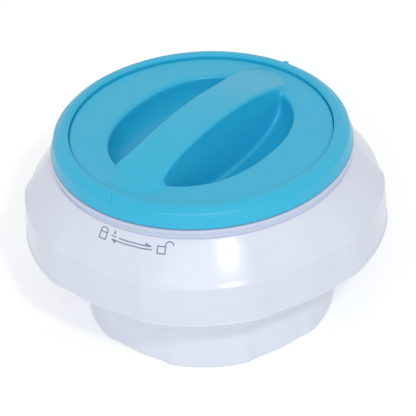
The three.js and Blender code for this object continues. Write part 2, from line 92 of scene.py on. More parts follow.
LID_BOTTOM = COLLAR_TOP + 0.5
LID_STEP = LID_BOTTOM + 6.8
RIM_CHAMFER = 0.9
RIM_GAP = 0.15
RIM_INNER_R = DISC_R + 0.6 + RIM_CHAMFER
DISC_TOP = RIM_TOP - 2
DISC_THICK = 1.5
SHELF_TOP = SPRING_LOW - 0.3
SHELF_BOTTOM = GASKET_TOP + 0.3
PLUG_R = 61.5
PLUG_INNER_R = 59.5
LEDGE_HOLE_R = 54.5
LEDGE_T = 2
LUG_R = 65.3
LUG_H = 3
LUG_DEG = 20
CLUTCH_TEETH = 12
TOOTH_DEG = 8
TOOTH_H = 1.7
HUB_R = 53.8
HUB_WALL = 2

LOBES = 5
LOBE_HALF_DEG = 21.0
LOBE_BLEND_DEG = 2.7
SKIRT_DIP = 2.5
BASKET_DIP = 2.2


# ---- Mesh helpers -------------------------------------------------------------------------------------
CREASE_DEG = 50


def new_object(name, vertices, faces, material):
    """A smooth-shaded mesh object from vertices in millimetres."""
    mesh = bpy.data.meshes.new(name)
    mesh.from_pydata([tuple(v) for v in np.asarray(vertices) * MM], [], [tuple(f) for f in faces])
    mesh.validate()
    obj = bpy.data.objects.new(name, mesh)
    bpy.context.scene.collection.objects.link(obj)
    mesh.materials.append(material)
    mesh.shade_smooth()
    return obj


def rounded(points, closed=True, steps=5):
    """A polygon of (radius, height, fillet) points with its corners replaced by arcs."""
    out = []
    count = len(points)
    for i, point in enumerate(points):
        here = np.array(point[:2], float)
        fillet = point[2] if len(point) > 2 else 0
        if not fillet or (not closed and i in (0, count - 1)):
            out.append(tuple(here))
            continue
        back = np.array(points[i - 1][:2], float) - here
        ahead = np.array(points[(i + 1) % count][:2], float) - here
        back_length, ahead_length = np.linalg.norm(back), np.linalg.norm(ahead)
        back, ahead = back / back_length, ahead / ahead_length
        half = math.acos(np.clip(back @ ahead, -1, 1)) / 2
        reach = min(fillet / math.tan(half), back_length * 0.49, ahead_length * 0.49)
        radius = reach * math.tan(half)
        middle = (back + ahead) / np.linalg.norm(back + ahead) * radius / math.sin(half) + here
        first, last = here + back * reach - middle, here + ahead * reach - middle
        start = math.atan2(first[1], first[0])
        sweep = (math.atan2(last[1], last[0]) - start + math.pi) % TURN - math.pi
        for k in range(steps + 1):
            a = start + sweep * k / steps
            out.append((middle[0] + radius * math.cos(a), middle[1] + radius * math.sin(a)))
    return out


def turned(profile, facets=240, warp=None, closed=True):
    """Vertices and faces of a profile turned about Z. An open profile starts and ends on the axis."""
    profile = list(profile)
    area = sum(a[0] * b[1] - b[0] * a[1] for a, b in zip(profile, profile[1:] + profile[:1]))
    if area < 0:
        profile.reverse()
    vertices, rings = [], []
    for r, z in profile:
        if not closed and r < 1e-6:
            rings.append([len(vertices)] * facets)
            vertices.append((0.0, 0.0, z))
            continue
        rings.append(list(range(len(vertices), len(vertices) + facets)))
        for k in range(facets):
            a = TURN * k / facets
            place = warp(a, r, z) if warp else (r, z)
            vertices.append((place[0] * math.cos(a), place[0] * math.sin(a), place[1]))
    faces = []
    pairs = zip(rings, rings[1:] + rings[:1]) if closed else zip(rings, rings[1:])
    for low, high in pairs:
        for k in range(facets):
            n = (k + 1) % facets
            face = [low[k], low[n], high[n], high[k]]
            faces.append([v for i, v in enumerate(face) if v != face[i - 1]])
    return vertices, faces


def turned_piece(name, profile, material, facets=240, warp=None, closed=True, extras=()):
    """A turned profile, joined by any further (vertices, faces) parts, as one object."""
    return merged_piece(name, [turned(profile, facets, warp, closed), *extras], material)


def merged_piece(name, parts, material):
    """Several (vertices, faces) parts as one object."""
    vertices, faces = [], []
    for part_vertices, part_faces in parts:
        start = len(vertices)
        vertices.extend(part_vertices)
        faces.extend([[v + start for v in face] for face in part_faces])
    obj = new_object(name, vertices, faces, material)
    crisp(obj)
    return obj


def crisp(obj):
    """Keeps flat faces flat beside their rounded edges."""
    obj.data.set_sharp_from_angle(angle=math.radians(CREASE_DEG))
    weighted = obj.modifiers.new("weighted_normals", "WEIGHTED_NORMAL")
    weighted.keep_sharp = True


def arc_block(inner, outer, low, high, centre_deg, width_deg, edge=0.35):
    """A block of an annulus with rounded edges across its section."""
    section = rounded([(inner, low, 0), (outer, low, edge), (outer, high, edge), (inner, high, 0)], steps=3)
    steps = max(3, int(width_deg / 1.5))
    vertices, faces = [], []
    count = len(section)
    for k in range(steps + 1):
        a = math.radians(centre_deg + width_deg * (k / steps - 0.5))
        vertices.extend([(r * math.cos(a), r * math.sin(a), z) for r, z in section])
    for k in range(steps):
        for i in range(count):
            n = (i + 1) % count
            faces.append([k * count + i, (k + 1) * count + i, (k + 1) * count + n, k * count + n])
    faces.append(list(range(count)))
    faces.append([steps * count + i for i in reversed(range(count))])
    return vertices, [face[::-1] for face in faces]


def dip_share(angle):
    """0 on a lobe, 1 in the dip between two lobes."""
    pitch = 360 / LOBES
    turn = (math.degrees(angle) + pitch / 2) % pitch
    return (1 + math.tanh((abs(turn - pitch / 2) - LOBE_HALF_DEG) / LOBE_BLEND_DEG)) / 2


# ---- Materials ----------------------------------------------------------------------------------------
def linear(r, g, b):
    """A colour given as 0-255 sRGB, as linear values."""
    shares = (c / 255 for c in (r, g, b))
    return tuple(c / 12.92 if c <= 0.04 else ((c + 0.055) / 1.055) ** 2.4 for c in shares) + (1,)


CLOUD_MM = 42
SCUFF_MM = 7
SKIN_STRENGTH = 0.25
SINK_DEPTH = 0.12


def plastic(name, colour, shade, roughness, grain=0.006, grain_mm=0.7, wave_mm=18, specular=0.5, metallic=0.0,
            scuff=0.05, sink=0.5):
    """A moulded surface: cloudy colour, uneven gloss, a fine skin texture and faint sink waves."""
    material = bpy.data.materials.new(name)
    material.use_nodes = True
    nodes, links = material.node_tree.nodes, material.node_tree.links
    shader = nodes["Principled BSDF"]
    shader.inputs["Specular IOR Level"].default_value = specular
    shader.inputs["Metallic"].default_value = metallic
    place = nodes.new("ShaderNodeTexCoord")

    def noise(scale_mm, detail, rough=0.5):
        """A cloud texture whose features are scale_mm across."""
        node = nodes.new("ShaderNodeTexNoise")
        node.inputs["Scale"].default_value = 1 / (scale_mm * MM)
        node.inputs["Detail"].default_value = detail
        node.inputs["Roughness"].default_value = rough
        links.new(place.outputs["Object"], node.inputs["Vector"])
        return node.outputs["Fac"]

    cloud = nodes.new("ShaderNodeMix")
    cloud.data_type = "RGBA"
    cloud.inputs["A"].default_value = linear(*colour)
    cloud.inputs["B"].default_value = linear(*shade)
    links.new(noise(CLOUD_MM, 3), cloud.inputs["Factor"])
    links.new(cloud.outputs["Result"], shader.inputs["Base Color"])

    gloss = nodes.new("ShaderNodeMapRange")
    gloss.inputs["From Min"].default_value = 0.3
    gloss.inputs["From Max"].default_value = 0.7
    gloss.inputs["To Min"].default_value = roughness - scuff
    gloss.inputs["To Max"].default_value = roughness + scuff
    links.new(noise(SCUFF_MM, 4, 0.6), gloss.inputs["Value"])
    links.new(gloss.outputs["Result"], shader.inputs["Roughness"])

    skin = nodes.new("ShaderNodeBump")
    skin.inputs["Strength"].default_value = SKIN_STRENGTH
    skin.inputs["Distance"].default_value = grain * MM
    links.new(noise(grain_mm, 2), skin.inputs["Height"])
    waves = nodes.new("ShaderNodeBump")
    waves.inputs["Strength"].default_value = sink
    waves.inputs["Distance"].default_value = SINK_DEPTH * MM
    links.new(noise(wave_mm, 1), waves.inputs["Height"])
    links.new(skin.outputs["Normal"], waves.inputs["Normal"])
    links.new(waves.outputs["Normal"], shader.inputs["Normal"])
    return material


LID_PLASTIC = plastic("lid_plastic", (46, 183, 220), (36, 178, 216), 0.34, specular=0.48, grain=0.0015)
FLOAT_PLASTIC = plastic("float_plastic", (221, 225, 239), (216, 221, 236), 0.23, scuff=0.015, sink=0.12,
                        wave_mm=30)
# The neck collar is a darker, bluer grey than the float: painted shade from the lid over it, with painted
# blue light bounced off the lid.
NECK_PLASTIC_PAINTED_SHADE = plastic("neck_plastic_painted_shade", (201, 211, 232), (195, 206, 229), 0.3, scuff=0.02, sink=0.2)
# The basket's white is lighter than the float's: painted light standing in for light glowing through the
# translucent basket in the shade under the float.
BASKET_PLASTIC_PAINTED_LIGHT = plastic("basket_plastic", (231, 236, 247), (225, 231, 243), 0.36, scuff=0.03, sink=0.3,
                         wave_mm=24)
FOAM = plastic("float_foam", (240, 238, 228), (228, 226, 214), 0.85, grain=0.3, grain_mm=1.6, specular=0.2)
SEAL_RUBBER = plastic("seal_rubber", (52, 54, 58), (42, 44, 47), 0.7, grain=0.05, specular=0.35)
SPRING_STEEL = plastic("spring_steel", (188, 190, 194), (170, 172, 177), 0.3, metallic=1.0, wave_mm=6)
PRINT_INK = plastic("print_ink", (128, 140, 166), (120, 132, 158), 0.6, grain=0.01)


def finish_piece(piece, body, slot, *nodes):
    """Puts a piece on its body, in place of the CAD nodes that it stands for. The slot argument is not used.
    """
    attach(piece, body)
    if nodes:
        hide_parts(*nodes)
    return piece


# ---- Float body ---------------------------------------------------------------------------------------
SHOULDER_TOP_R = COLLAR_R - 0.6
SHOULDER_CROWN_DEG = 3.0
SKIRT_TOP_R = 91.1
SKIRT_TOP = SHELL_LOW + 21.6
SHELL_WALL = 2.2
SHELL_HOLE_R = 68.8
SHELL_LIP = 1.1
THROAT_R = 66.0
NECK_R = 68.5
HOPPER_R = 68.2
COLLAR_T = 2.1
COLLAR_FOOT_INSET = 1.2
SHELL_CLEARANCE = 0.05
BAYONET_DEGS = (45, 135, 225, 315)
TAB_INNER_R, TAB_OUTER_R = 62.2, 66.5
TAB_DEG = 26
STOP_DEG = 2
CLOSURE_HOLE_R, CLOSURE_R = 67.5, 89.7

SHOULDER_DR, SHOULDER_DZ = SKIRT_TOP_R - SHOULDER_TOP_R, SHELL_HIGH - SKIRT_TOP
SHOULDER_TURN = 2 * math.radians(SHOULDER_CROWN_DEG)
SHOULDER_START = math.atan2(SHOULDER_DR, SHOULDER_DZ) + SHOULDER_TURN / 2
SHOULDER_RADIUS = math.hypot(SHOULDER_DR, SHOULDER_DZ) / (2 * math.sin(SHOULDER_TURN / 2))


def shoulder_point(t, inset=0.0):
    """Point on the crowned shoulder, t from 0 at the collar to 1 at the skirt."""
    a = SHOULDER_START - SHOULDER_TURN * t
    reach = SHOULDER_RADIUS - inset
    return (
        SHOULDER_TOP_R - SHOULDER_RADIUS * math.cos(SHOULDER_START) + reach * math.cos(a),
        SHELL_HIGH - SHOULDER_RADIUS * math.sin(SHOULDER_START) + reach * math.sin(a),
    )


def float_warp(angle, r, z):
    """Draws the skirt in between its lobes, and the shoulder less and less towards the collar."""
    share = min(max((r - SHOULDER_TOP_R) / (SKIRT_TOP_R - SHOULDER_TOP_R), 0), 1)
    return r - SKIRT_DIP * share * dip_share(angle), z


def build_float_shell():
    """The crowned shoulder and the skirt, as one moulding."""
    steps = 16
    arc = [shoulder_point(k / steps) for k in range(1, steps)]
    inside = [shoulder_point(1 - k / steps, SHELL_WALL) for k in range(steps)]
    profile = rounded([
        (SKIRT_R - SHELL_WALL, SHELL_LOW, 0.4),
        (SKIRT_R, SHELL_LOW, 0.5),
        (SKIRT_R, SHELL_LOW + SHELL_LIP, 0.4),
        (SKIRT_R - 0.45, SHELL_LOW + SHELL_LIP + 0.3, 0.3),
        (SKIRT_TOP_R + 0.3, SKIRT_TOP, 1.5),
        *[(r, z, 0) for r, z in reversed(arc)],
        (SHOULDER_TOP_R, SHELL_HIGH, 0.8),
        (SHELL_HOLE_R, SHELL_HIGH, 0.3),
        (SHELL_HOLE_R, SHELL_HIGH - SHELL_WALL, 0.3),
        *[(r, z, 0) for r, z in reversed(inside)],
    ])
    shell = turned_piece("float_shell", profile, FLOAT_PLASTIC, 360, float_warp)
    return finish_piece(shell, "float_body", "float_shell", "upper_float_shell")


# The lock marks are printed on the shoulder. Their outlines are (degrees round Z, millimetres down) points.
MARK_RADIUS = 79.0
MARK_WIDTH = 0.62
MARK_HEIGHT = 0.06
MARK_ROOT = -0.1


def on_shoulder(u, down, lift):
    """A place on the shoulder, u being millimetres round it at the marks."""
    angle = u / MARK_RADIUS
    r, z = shoulder_point(down / (SHOULDER_RADIUS * SHOULDER_TURN), -lift)
    r, z = float_warp(angle, r, z)
    return r * math.cos(angle), r * math.sin(angle), z


def mark_point(deg, down):
    """(millimetres round the shoulder, millimetres down it)."""
    return np.array([math.radians(deg) * MARK_RADIUS, down])


def printed_line(points):
    """A printed stroke through (degrees, down) points, as a low strip on the shoulder."""
    corners = [mark_point(*p) for p in points]
    path = []
    for a, b in zip(corners, corners[1:]):
        steps = max(1, int(np.linalg.norm(b - a) / 0.6))
        path.extend(a + (b - a) * k / steps for k in range(steps))
    ring = np.allclose(corners[0], corners[-1])
    if not ring:
        path.append(corners[-1])
    count = len(path)
    vertices, faces = [], []
    for i, here in enumerate(path):
        back = here - path[i - 1] if i or ring else path[1] - here
        ahead = path[(i + 1) % count] - here if i < count - 1 or ring else back
        back, ahead = back / np.linalg.norm(back), ahead / np.linalg.norm(ahead)
        along = (back + ahead) / np.linalg.norm(back + ahead)
        side = np.array([-along[1], along[0]]) * MARK_WIDTH / 2 / max(along @ ahead, 0.5)
        for place, lift in ((here + side, MARK_ROOT), (here - side, MARK_ROOT), (here - side, MARK_HEIGHT),
                            (here + side, MARK_HEIGHT)):
            vertices.append(on_shoulder(*place, lift))
    for i in range(count if ring else count - 1):
        n = (i + 1) % count
        for j in range(4):
            k = (j + 1) % 4
            faces.append([i * 4 + j, i * 4 + k, n * 4 + k, n * 4 + j])
    if not ring:
        last = len(vertices) - 4
        faces += [[3, 2, 1, 0], [last, last + 1, last + 2, last + 3]]
    return vertices, faces


def printed_patch(points):
    """A filled printed outline, as a low closed block on the shoulder."""
    corners = [mark_point(*p) for p in points]
    count = len(corners)
    vertices = [on_shoulder(*p, lift) for lift in (MARK_ROOT, MARK_HEIGHT) for p in corners]
    faces = [list(range(count))[::-1], [count + i for i in range(count)]]
    faces += [[i, (i + 1) % count, count + (i + 1) % count, count + i] for i in range(count)]
    return vertices, faces


def outward(part):
    """A small closed part with its faces turned outwards."""
    vertices, faces = part
    points = np.array(vertices)
    middle = points.mean(0)
    volume = 0.0
    for face in faces:
        corners = points[list(face)] - middle
        volume += sum(corners[0] @ np.cross(a, b) for a, b in zip(corners[1:], corners[2:]))
    return part if volume > 0 else (vertices, [face[::-1] for face in faces])


def padlock(centre_deg, open_shackle):
    """Outlines of a padlock: its square body and the shackle over it, swung open or closed."""
    half = math.degrees(1.95 / MARK_RADIUS)
    top, bottom, peak = 4.1, 7.6, 1.5
    left, right = centre_deg - half, centre_deg + half
    body = [(left, top), (right, top), (right, bottom), (left, bottom), (left, top)]
    middle = right + half if open_shackle else centre_deg
    legs = [(middle - half, top), (middle - half, peak + 1.5)]
    turns = np.linspace(0.3, math.pi - 0.3, 9)
    arc = [(middle - half * math.cos(a), peak + 1.5 * (1 - math.sin(a))) for a in turns]
    far_leg = [(middle + half, peak + 1.5), (middle + half, top - (0.7 if open_shackle else 0))]
    return [body, legs + arc + far_leg]


def build_lock_marks():
    """A closed and an open padlock, the two arrows between them and the press-down mark."""
    closed_deg, open_deg = 180 - 0.4, 180 + 22.8
    strokes = [*padlock(closed_deg, False), *padlock(open_deg, True)]
    upper = [(186.2, 4.7), (191, 4.95), (195.5, 4.95), (198.8, 4.85)]
    lower = [(183.8, 6.2), (189, 6.7), (194.5, 6.65), (199.4, 6.3)]
    press_bar = [(182.9, 4.3), (185.1, 4.5)]
    press_stem = [(184.1, 1.5), (184.1, 2.6)]
    parts = [printed_line(points) for points in (*strokes, upper, lower, press_bar, press_stem)]
    parts.append(printed_patch([(199.6, 4.9), (197.0, 5.0), (196.6, 3.3)]))
    parts.append(printed_patch([(183.0, 6.0), (185.4, 6.4), (185.0, 8.0)]))
    parts.append(printed_patch([(183.4, 2.4), (184.8, 2.4), (184.1, 3.5)]))
    marks = merged_piece("lock_marks", [outward(part) for part in parts], PRINT_INK)
    finish_piece(marks, "float_body", "seal")


def build_collar():
    """The ring under the lid, with the bayonet tabs and stops on the inside of its neck."""
    foot_r, foot_low = COLLAR_R - COLLAR_FOOT_INSET, SHELL_HIGH + SHELL_CLEARANCE
    profile = rounded([
        (THROAT_R, COLLAR_LOW, 0.3), (NECK_R, COLLAR_LOW, 0.3), (NECK_R, foot_low, 0.2),
        (foot_r, foot_low, 0.2), (foot_r, COLLAR_TOP - COLLAR_T, 0.5),
        (COLLAR_R, COLLAR_TOP - COLLAR_T, 0.4), (COLLAR_R, COLLAR_TOP, 0.5), (THROAT_R, COLLAR_TOP, 0.5),
    ])
    tab_low, tab_high, stop_low = LID_PLUG_Z + 3.3, LID_PLUG_Z + 6.3, LID_PLUG_Z - 1
    extras = []
    for deg in BAYONET_DEGS:
        extras.append(arc_block(TAB_INNER_R, TAB_OUTER_R, tab_low, tab_high, deg, TAB_DEG))
        extras.append(arc_block(TAB_INNER_R, TAB_OUTER_R, stop_low, tab_low + 0.2, deg - 12, STOP_DEG))
        extras.append(arc_block(TAB_INNER_R, TAB_OUTER_R, stop_low, tab_high, deg + 37, STOP_DEG))
    # The collar's colour is painted shade and painted blue bounce light from the lid above it.
    collar = turned_piece("neck_collar_ring", profile, NECK_PLASTIC_PAINTED_SHADE, 300, extras=extras)
    return finish_piece(collar, "float_body", "float_shell", "neck_collar")


def build_float_inside():
    """The closure ring, the hopper's wall and the foam."""
    closure = turned_piece("closure_ring", rounded([
        (CLOSURE_HOLE_R, CLOSURE_LOW, 0.4), (CLOSURE_R, CLOSURE_LOW, 0.3),
        (CLOSURE_R, CLOSURE_TOP, 0.3), (CLOSURE_HOLE_R, CLOSURE_TOP, 0.4),
    ]), FLOAT_PLASTIC, 300, float_warp)
    finish_piece(closure, "float_body", "float_shell", "float_closure_ring")
    hopper_low, hopper_top = (p[2] for p in span("hopper_tube"))
    hopper = turned_piece("hopper_wall", rounded([
        (THROAT_R, hopper_low, 0.4), (HOPPER_R, hopper_low, 0.4), (HOPPER_R, hopper_top, 0.4),
        (THROAT_R, hopper_top, 0.4),
    ]), BASKET_PLASTIC_PAINTED_LIGHT, 200)
    finish_piece(hopper, "float_body", "basket_plastic", "hopper_tube")
    foam_low, foam_top = (p[2] for p in span("foam_float_ring"))
    inner, outer = inner_radius("foam_float_ring"), outer_radius("foam_float_ring")
    foam = turned_piece("foam_ring", rounded([
        (inner, foam_low, 1), (outer, foam_low, 1.5), (outer, foam_top - 7.8, 2.5),
        (inner + 5.8, foam_top - 1.5, 2.5), (inner, foam_top, 1),
    ]), FOAM, 160)
    finish_piece(foam, "float_body", "foam", "foam_float_ring")


def build_screw(index):
    """A flat-headed screw with a hexagonal socket, its head down."""
    low, high = span("closure_screw_%d" % index)
    middle = (low + high) / 2
    head_r, shank_r, head_t = 3.0, 1.5, 1.0
    profile = rounded([
        (0, low[2] + 0.55), (1.25, low[2] + 0.55, 0.1), (1.45, low[2] + 0.02, 0.15),
        (head_r - 0.3, low[2] + 0.1, 0.5), (head_r, low[2] + head_t, 0.1), (shank_r, low[2] + head_t, 0.1),
        (shank_r, high[2] - 1.2, 0.3), (0.3, high[2]), (0, high[2]),
    ], closed=False, steps=4)

    def hexed(angle, r, z):
        """Draws the socket's wall in to a hexagon."""
        if r > 1.5 or z > low[2] + 0.7:
            return r, z
        return r * math.cos(math.pi / 6) / math.cos((angle % (math.pi / 3)) - math.pi / 6), z

    vertices, faces = turned(profile, 48, hexed, closed=False)
    vertices = [(x + middle[0], y + middle[1], z) for x, y, z in vertices]
    screw = merged_piece("float_screw_%d" % index, [(vertices, faces)], SPRING_STEEL)
    finish_piece(screw, "float_body", "steel", "closure_screw_%d" % index)


# ---- Basket and regulator -----------------------------------------------------------------------------
FOOT_R = 63.7
BASKET_TOP_R = 65.2
FLOOR_Z = 9.0
FLOOR_T = 2.0
VENTS = 10
VENT_DEG = 13.0
VENT_INNER_R, VENT_OUTER_R = 20.0, 44.0
FLOOR_JOINT_R = 47.0
FOOT_INNER_R = 60.2
DIP_START_R = 51
DIP_FADE = 6
PIVOT_HOLE_R = 3.8
PIVOT_HEAD_R = 6.5


def basket_warp(angle, r, z):
    """Draws the basket's wall in between its lobes and leaves its floor round."""
    share = min(max((r - DIP_START_R) / DIP_FADE, 0), 1)
    return r - BASKET_DIP * share * dip_share(angle), z


def build_basket():
    """The cup, and the vented middle of its floor."""
    flange_low = BASKET_TOP - 2
    profile = rounded([
        (FLOOR_JOINT_R, FLOOR_Z, 0.1), (FOOT_INNER_R, FLOOR_Z, 0.8), (FOOT_INNER_R, 0, 0.4), (61.9, 0, 0.6),
        (FOOT_R, 0.6, 1.6), (FOOT_R + 0.08, 3.5, 2), (BASKET_TOP_R, flange_low, 0.6),
        (BASKET_FLANGE_R, flange_low, 0.4), (BASKET_FLANGE_R, BASKET_TOP, 0.4),
        (BASKET_TOP_R - 2, BASKET_TOP, 0.5), (FOOT_R - 2, FLOOR_Z + 6, 2),
        (FOOT_R - 4, FLOOR_Z + FLOOR_T, 2), (FLOOR_JOINT_R, FLOOR_Z + FLOOR_T, 0.1),
    ])
    # The cup's colour carries painted light, lighter than the float's white.
    cup = turned_piece("basket_cup", profile, BASKET_PLASTIC_PAINTED_LIGHT, 360, basket_warp)
    finish_piece(cup, "float_body", "basket_plastic", "tablet_basket")
    floor_r, floor_top = FLOOR_JOINT_R + 0.2, FLOOR_Z + FLOOR_T
    floor = vented_plate("basket_floor", PIVOT_HOLE_R, floor_r, FLOOR_Z, floor_top, BASKET_PLASTIC_PAINTED_LIGHT)
    finish_piece(floor, "float_body", "basket_plastic")


def vented_plate(name, inner, outer, low, high, material):
    """An annular plate with a ring of vent windows, on a polar grid whose window cells are left out."""
    pitch = 360 / VENTS
    window = [pitch / 2 - VENT_DEG / 2, pitch / 2 + VENT_DEG / 2]
    cells = (np.linspace(*window, 7), np.linspace(2, 10, 5), np.linspace(26, 34, 5))
    corners = sorted({0.0, *cells[0], *cells[1], *cells[2]})
    angles = [math.radians(k * pitch + a - pitch / 2) for k in range(VENTS) for a in corners]
    radii = [inner, (inner + VENT_INNER_R) / 2, *np.linspace(VENT_INNER_R, VENT_OUTER_R, 9), outer]
    per_vent = len(corners)
    count, rings = len(angles), len(radii)

    def cut(i, k):
        """True where a window leaves out a cell of the grid."""
        in_ring = VENT_INNER_R - 0.01 <= radii[i] and radii[i + 1] <= VENT_OUTER_R + 0.01
        return in_ring and window[0] - 0.01 <= corners[k % per_vent] < window[1] - 0.01

    vertices = [(r * math.cos(a), r * math.sin(a), z) for r in radii for a in angles for z in (low, high)]
    faces = []
    for i in range(rings - 1):
        for k in range(count):
            if cut(i, k):
                continue
            places = [(i, k), (i + 1, k), (i + 1, k + 1), (i, k + 1)]
            a, b, c, d = ((ring * count + turn % count) * 2 for ring, turn in places)
            faces.append([a + 1, b + 1, c + 1, d + 1])
            faces.append([a, d, c, b])
            if i == 0 or cut(i - 1, k):
                faces.append([a, a + 1, d + 1, d])
            if i == rings - 2 or cut(i + 1, k):
                faces.append([b, c, c + 1, b + 1])
            if cut(i, k - 1):
                faces.append([a, b, b + 1, a + 1])
            if cut(i, k + 1):
                faces.append([d, d + 1, c + 1, c])
    used = sorted({v for face in faces for v in face})
    renumber = {v: i for i, v in enumerate(used)}
    plate = ([vertices[v] for v in used], [[renumber[v] for v in face] for face in faces])
    obj = new_object(name, *plate, material)
    bevel = obj.modifiers.new("edges", "BEVEL")
    bevel.width = 0.35 * MM
    bevel.segments = 3
    bevel.limit_method = "ANGLE"
    bevel.angle_limit = math.radians(40)
    crisp(obj)
    return obj


def build_regulator():
    """The dial under the basket, its washer, and the pivot and push nut that hold it."""
    low, high = span("regulator_dial")
    plate_low = high[2] - 3
    radius = outer_radius("regulator_dial")
    dial = vented_plate("vent_dial", PIVOT_HOLE_R, radius - 0.4, plate_low, high[2], LID_PLASTIC)
    finish_piece(dial, "regulator", "lid_plastic", "regulator_dial")
    tabs = [arc_block(8, 18, low[2], plate_low + 0.2, deg, 26, 1.2) for deg in (0, 180)]
    rim = turned(rounded([(radius - 2.2, plate_low - 0.8, 0.4), (radius, plate_low - 0.8, 0.6),
                          (radius, high[2], 0.3), (radius - 2.2, high[2] - 0.4, 0.2)]), 240)
    grip = merged_piece("vent_dial_grip", [*tabs, rim], LID_PLASTIC)
    finish_piece(grip, "regulator", "lid_plastic")
    washer_low, washer_high = (p[2] for p in span("regulator_friction_washer"))
    washer = turned_piece("dial_washer", rounded([
        (PIVOT_HOLE_R, washer_low, 0.15), (PIVOT_HEAD_R, washer_low, 0.15),
        (PIVOT_HEAD_R, washer_high, 0.15), (PIVOT_HOLE_R, washer_high, 0.15),
    ]), SEAL_RUBBER, 64)
    finish_piece(washer, "regulator", "seal", "regulator_friction_washer")
    low, high = span("regulator_pivot")
    pivot = turned_piece("dial_pivot", rounded([
        (0, low[2]), (3.2, low[2] + 0.1, 3),
        (PIVOT_HEAD_R, low[2] + 1.1, 0.5), (PIVOT_HEAD_R, low[2] + 1.8, 0.2),
        (3.4, low[2] + 1.8, 0.2), (3.4, high[2] - 0.8, 0.2), (2.6, high[2], 0.3), (0, high[2]),
    ], closed=False), BASKET_PLASTIC_PAINTED_LIGHT, 96, closed=False)
    finish_piece(pivot, "float_body", "basket_plastic", "regulator_pivot")
    low, high = span("regulator_push_nut")
    nut = turned_piece("dial_push_nut", rounded([
        (3.7, low[2] + 0.5, 0.15), (7.5, low[2], 0.15), (7.5, low[2] + 0.5, 0.15), (3.7, high[2], 0.15),
    ]), SPRING_STEEL, 64)
    finish_piece(nut, "float_body", "steel", "regulator_push_nut")


# ---- Lid ----------------------------------------------------------------------------------------------
def build_lid_ring():
    """The rim, bevel and skirt of the lid, with its bayonet lugs, clutch teeth and pointers."""
    well_r = RIM_INNER_R - RIM_CHAMFER
    ledge_top = LID_PLUG_Z + LEDGE_T
    profile = rounded([
        (LID_R, LID_BOTTOM, 0.35), (LID_R - 1.35, LID_STEP - 0.5, 0.5), (LID_R - 2.0, LID_STEP, 0.25),
        (LID_R - 2.5, LID_STEP + 0.8, 0.6), (RIM_INNER_R + 2.9, RIM_TOP - 0.15, 0.9),
        (RIM_INNER_R + 0.2, RIM_TOP, 0.5), (well_r, RIM_TOP - 0.8, 0.3),
        (well_r, SHELF_TOP, 0.3), (PLUG_INNER_R, SHELF_TOP, 0.5), (PLUG_INNER_R, ledge_top, 0.3),
        (LEDGE_HOLE_R, ledge_top, 0.3), (LEDGE_HOLE_R, LID_PLUG_Z, 0.3), (PLUG_R, LID_PLUG_Z, 0.5),
        (PLUG_R, SHELF_BOTTOM, 0.6), (LID_R - 3.3, SHELF_BOTTOM, 0.6), (LID_R - 1.8, LID_BOTTOM, 0.35),
    ])
    lug_top, tooth_r = LID_PLUG_Z + LUG_H, PLUG_INNER_R + 0.2
    extras = [arc_block(PLUG_R - 0.5, LUG_R, LID_PLUG_Z, lug_top, deg, LUG_DEG) for deg in BAYONET_DEGS]
    for k in range(CLUTCH_TEETH):
        deg = 360 / CLUTCH_TEETH * k
        extras.append(arc_block(55, tooth_r, ledge_top - 0.1, ledge_top + TOOTH_H, deg, TOOTH_DEG, 0.2))
    extras += [pointer(deg) for deg in (0, 180)]
    ring = turned_piece("lid_rim", profile, LID_PLASTIC, 360, extras=extras)
    return finish_piece(ring, "lid", "lid_plastic", "lid_ring")


def pointer(deg):
    """A small ridge down the bevel of the rim that points at the lock marks."""
    half = 0.75
    spine = [(RIM_INNER_R + 3.2, RIM_TOP - 0.5), (RIM_INNER_R + 4.0, RIM_TOP - 0.15),
             (LID_R - 2.0, RIM_TOP - 1.35), (LID_R - 1.3, RIM_TOP - 2.1), (LID_R - 1.25, LID_STEP - 0.6)]
    base = [(RIM_INNER_R + 3.2, RIM_TOP - 1.5), (RIM_INNER_R + 4.0, RIM_TOP - 1.8),
            (LID_R - 3.2, RIM_TOP - 2.4), (LID_R - 2.8, RIM_TOP - 3.0), (LID_R - 2.4, LID_STEP - 0.8)]
    a = math.radians(deg)
    out = np.array([math.cos(a), math.sin(a), 0])
    side = np.array([-math.sin(a), math.cos(a), 0])
    section = [(-1.25, 0.0), (-1.0, 0.7), (-0.55, 1.0), (0.0, 1.08), (0.55, 1.0), (1.0, 0.7), (1.25, 0.0)]
    vertices, faces = [], []
    for top, bottom in zip(spine, base):
        for u, t in section:
            r = bottom[0] + (top[0] - bottom[0]) * t
            z = bottom[1] + (top[1] - bottom[1]) * t
            vertices.append(tuple(out * r + side * u * half + np.array([0, 0, z])))
    n = len(section)
    for k in range(len(spine) - 1):
        for i in range(n):
            j = (i + 1) % n
            faces.append([k * n + i, k * n + j, (k + 1) * n + j, (k + 1) * n + i])
    faces.append(list(range(n))[::-1])
    faces.append([(len(spine) - 1) * n + i for i in range(n)])
    return vertices, faces


